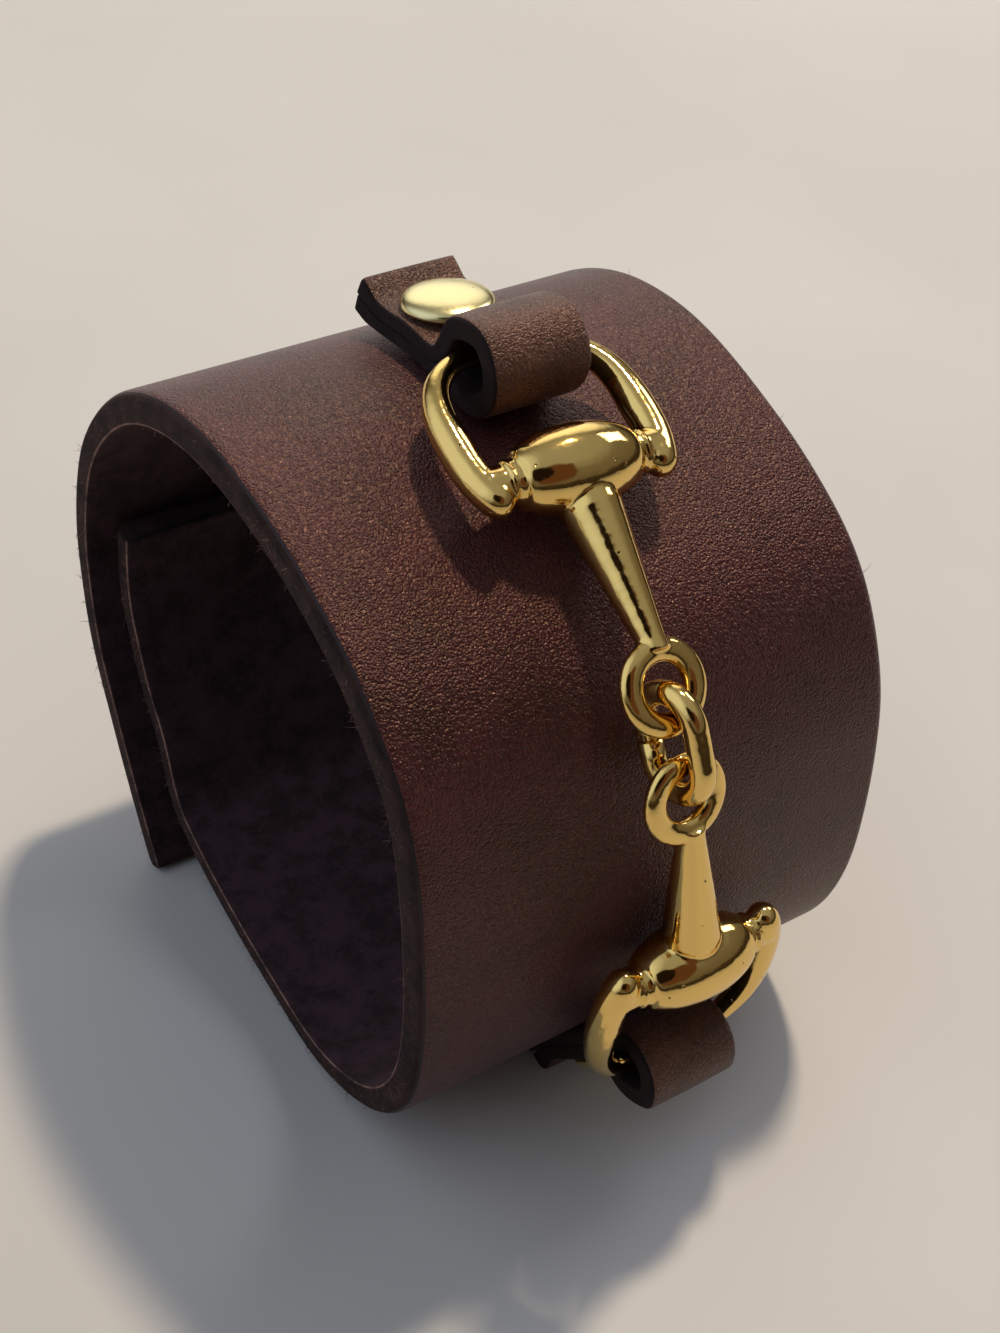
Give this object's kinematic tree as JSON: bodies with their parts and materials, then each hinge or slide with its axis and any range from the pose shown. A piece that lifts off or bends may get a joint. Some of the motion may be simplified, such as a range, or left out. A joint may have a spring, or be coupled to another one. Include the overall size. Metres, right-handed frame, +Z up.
{
  "type": "leather cuff bracelet",
  "caption": "Wide brown leather cuff bracelet with an overlapping snap closure and a gold snaffle bit strapped across its front.",
  "frame": {"origin": "on the table, under the middle of the whole bracelet's box", "axes": "+Z up; the cuff lies on its curved side with its axis along X, the bit faces -Y and upward, the overlap is at +Y"},
  "size_m": [0.0534, 0.0734, 0.0706],
  "materials": {
    "cuff_leather": "satin, dark reddish brown, rough at the cut edges and inside",
    "strap_leather": "satin, dark brown, nearly black cut edges",
    "gold": "polished pale gold with small casting pits"
  },
  "bodies": {
    "root": {"cuff_band": "cuff_leather", "strap_upper": "strap_leather", "strap_lower": "strap_leather", "bit_half_upper": "gold", "bit_half_lower": "gold", "link": "gold", "rivet_upper": "gold", "rivet_lower": "gold", "closure_snap": "gold"}
  },
  "joints": []
}
